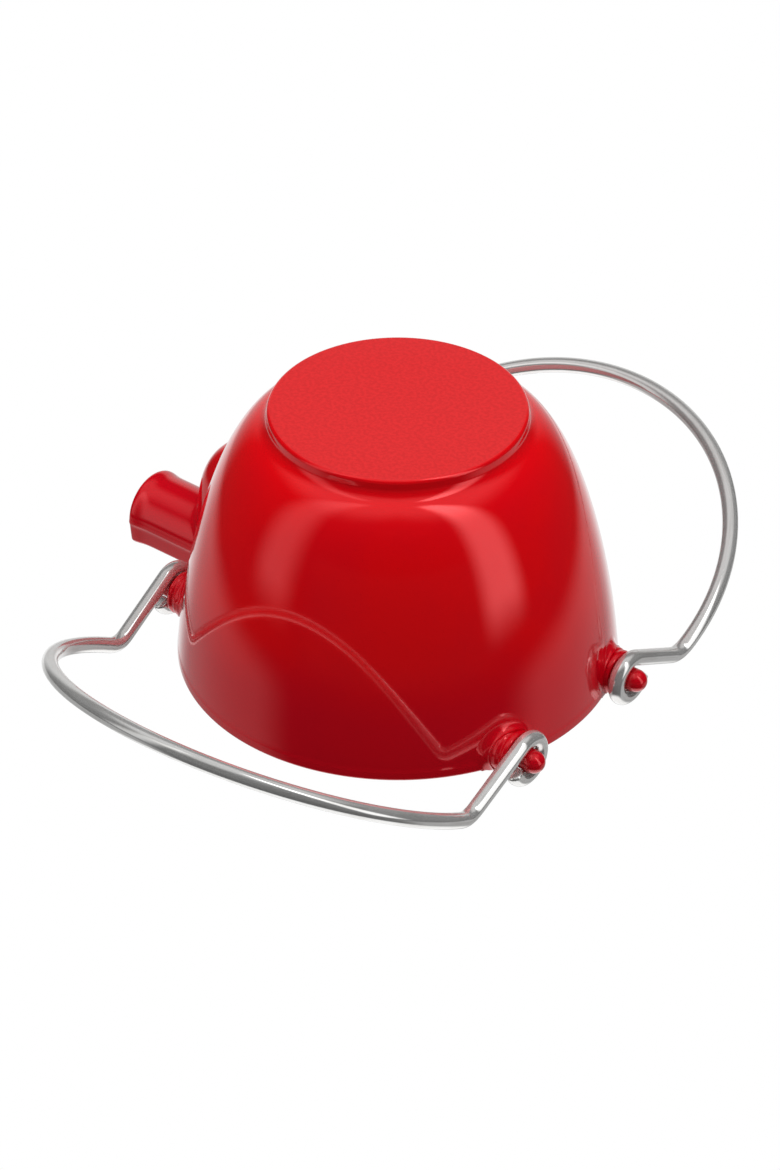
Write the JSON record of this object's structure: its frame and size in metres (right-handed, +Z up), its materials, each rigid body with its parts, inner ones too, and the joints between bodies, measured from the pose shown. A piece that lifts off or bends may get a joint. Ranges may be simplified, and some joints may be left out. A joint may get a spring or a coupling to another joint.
{
  "type": "two-handled kettle",
  "caption": "Round enamelled cast kettle with a stub spout, a lift-off lid with a knob, and wire bail handles that swing up to meet over the lid.",
  "frame": {"origin": "centre of the flat face of the foot, which the kettle stands on", "axes": "+Z up out of the mouth, +X along the spout, and the two handles hinge on axes parallel to X, one on each side in Y"},
  "size_m": [0.2071, 0.2914, 0.1356],
  "materials": {
    "enamel": "glossy cherry-red vitreous enamel over cast iron, finer and more satin under the foot",
    "polished_wire": "mirror-polished round wire",
    "turned_steel": "turned and polished, with fine lathe rings"
  },
  "bodies": {
    "kettle": {"kettle_body": "enamel"},
    "front_handle": {"front_handle": "polished_wire"},
    "rear_handle": {"rear_handle": "polished_wire"},
    "lid": {"lid": "enamel", "lid_knob": "turned_steel", "knob_washer": "turned_steel", "knob_screw": "turned_steel"}
  },
  "joints": [
    {"name": "front_handle_swing", "type": "hinge", "parent": "kettle", "child": "front_handle", "pos_m": [0, -0.0302, 0.0978], "axis": [-1, 0, 0], "range_deg": [-32, 122]},
    {"name": "rear_handle_swing", "type": "hinge", "parent": "kettle", "child": "rear_handle", "pos_m": [0, 0.0302, 0.0978], "axis": [1, 0, 0], "range_deg": [-33.9, 120.1]},
    {"name": "lid_lift", "type": "slide", "parent": "kettle", "child": "lid", "axis": [0, 0, 1], "range_m": [0, 0.045]}
  ]
}
